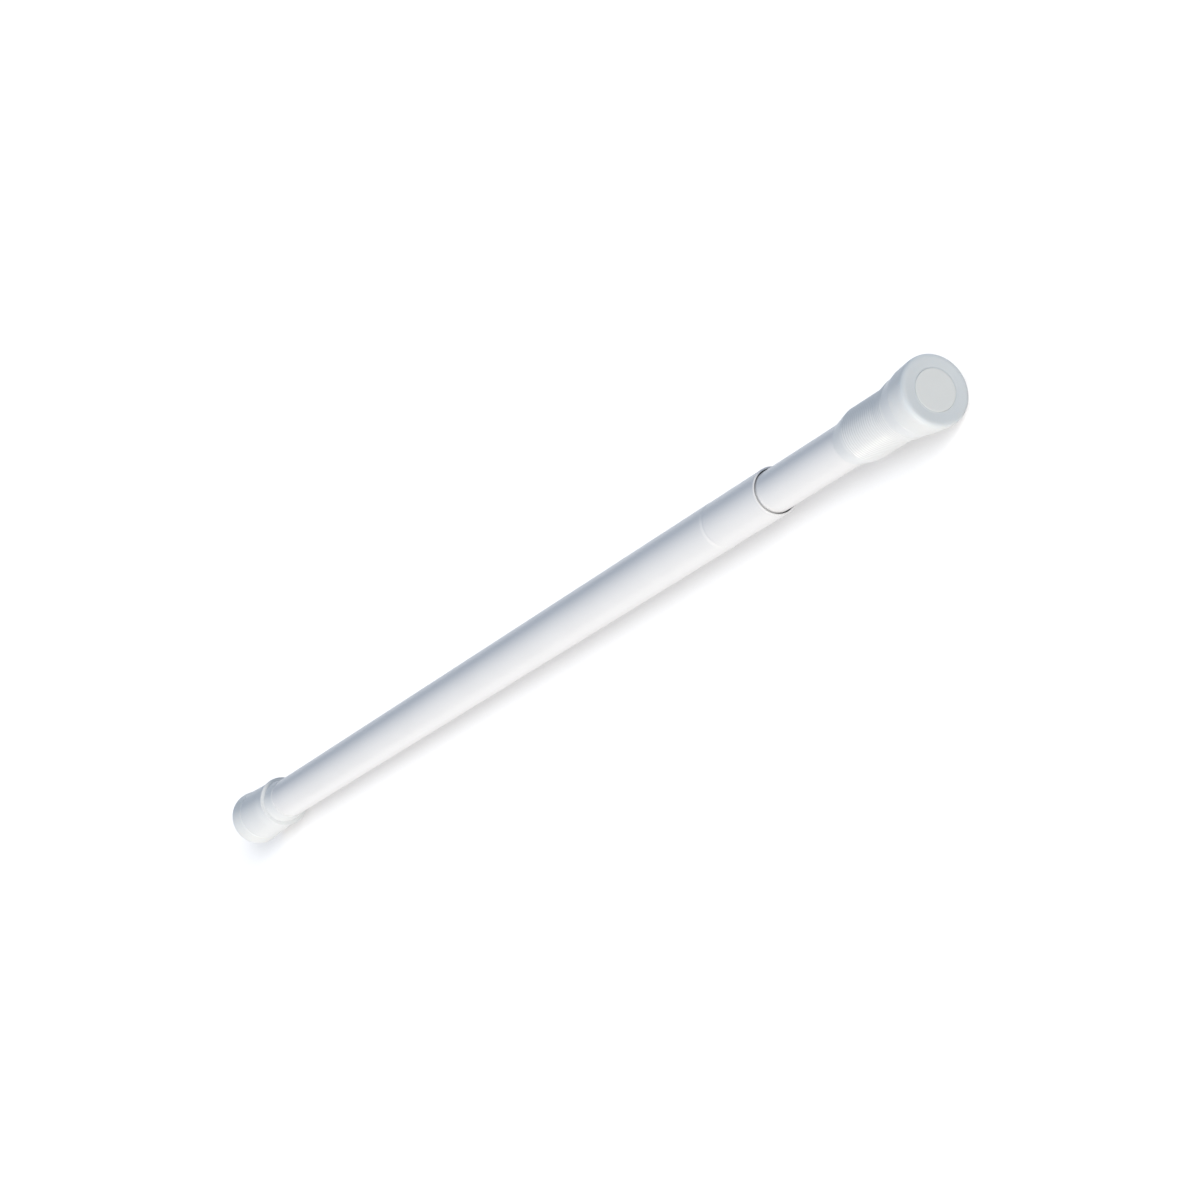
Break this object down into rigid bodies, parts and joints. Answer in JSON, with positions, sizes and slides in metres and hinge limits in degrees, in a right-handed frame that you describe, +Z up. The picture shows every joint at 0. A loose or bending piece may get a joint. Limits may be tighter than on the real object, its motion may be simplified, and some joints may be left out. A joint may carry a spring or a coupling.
{
  "type": "telescopic tension rod",
  "caption": "White telescopic spring tension rod with a twist lock, a ribbed grip cap and soft feet that press between two walls.",
  "frame": {"origin": "centre of the far foot's face, where it meets its wall", "axes": "+X along the rod from the far foot to the near, ribbed end; +Z up; the rod is round about X"},
  "size_m": [0.811, 0.0304, 0.0304],
  "materials": {
    "powder_coated_steel": "white powder coat, satin",
    "abs": "white moulded ABS, semi-gloss",
    "soft_pvc": "soft translucent pale grey PVC, satin",
    "stud_nylon": "pale grey moulded plastic, satin",
    "nylon": "natural nylon, matt",
    "acetal": "black acetal, matt",
    "zinc_steel": "bright zinc plate",
    "spring_steel": "drawn spring wire"
  },
  "bodies": {
    "outer_section": {"outer_tube": "powder_coated_steel", "mouth_bush": "nylon", "far_cup": "abs", "far_collar": "abs", "far_foot": "soft_pvc", "far_foot_stud": "stud_nylon", "far_tube_plug": "nylon"},
    "collet_unit": {"lock_collet": "nylon", "drag_ring": "spring_steel", "thrust_washer": "zinc_steel"},
    "cone": {"lock_cone": "acetal"},
    "spindle_unit": {"spindle": "zinc_steel", "stop_nut": "zinc_steel", "spring_head": "acetal", "head_pin": "spring_steel"},
    "inner_section": {"inner_tube": "powder_coated_steel", "tube_end_bush": "acetal", "spring_seat": "nylon", "tension_spring": "spring_steel", "near_tube_plug": "nylon", "grip_cap": "abs", "near_foot": "soft_pvc", "near_foot_stud": "stud_nylon"}
  },
  "joints": [
    {"name": "telescope", "type": "slide", "parent": "outer_section", "child": "collet_unit", "axis": [1, 0, 0], "range_m": [-0.053, 0.47]},
    {"name": "twist_lock", "type": "hinge", "parent": "collet_unit", "child": "spindle_unit", "pos_m": [0.13, 0, 0], "axis": [-1, 0, 0], "range_deg": [0, 540]},
    {"name": "cone_draw", "type": "slide", "parent": "collet_unit", "child": "cone", "axis": [1, 0, 0], "range_m": [0, 0.00188]},
    {"name": "spring_travel", "type": "slide", "parent": "spindle_unit", "child": "inner_section", "axis": [-1, 0, 0], "range_m": [0, 0.016], "stiffness_N_per_m": 2300, "springref_m": -0.008, "deforming": ["tension_spring"]}
  ],
  "couplings": [
    {"joint": "cone_draw", "follows": "twist_lock", "m_per_rad": 0.00019894}
  ]
}
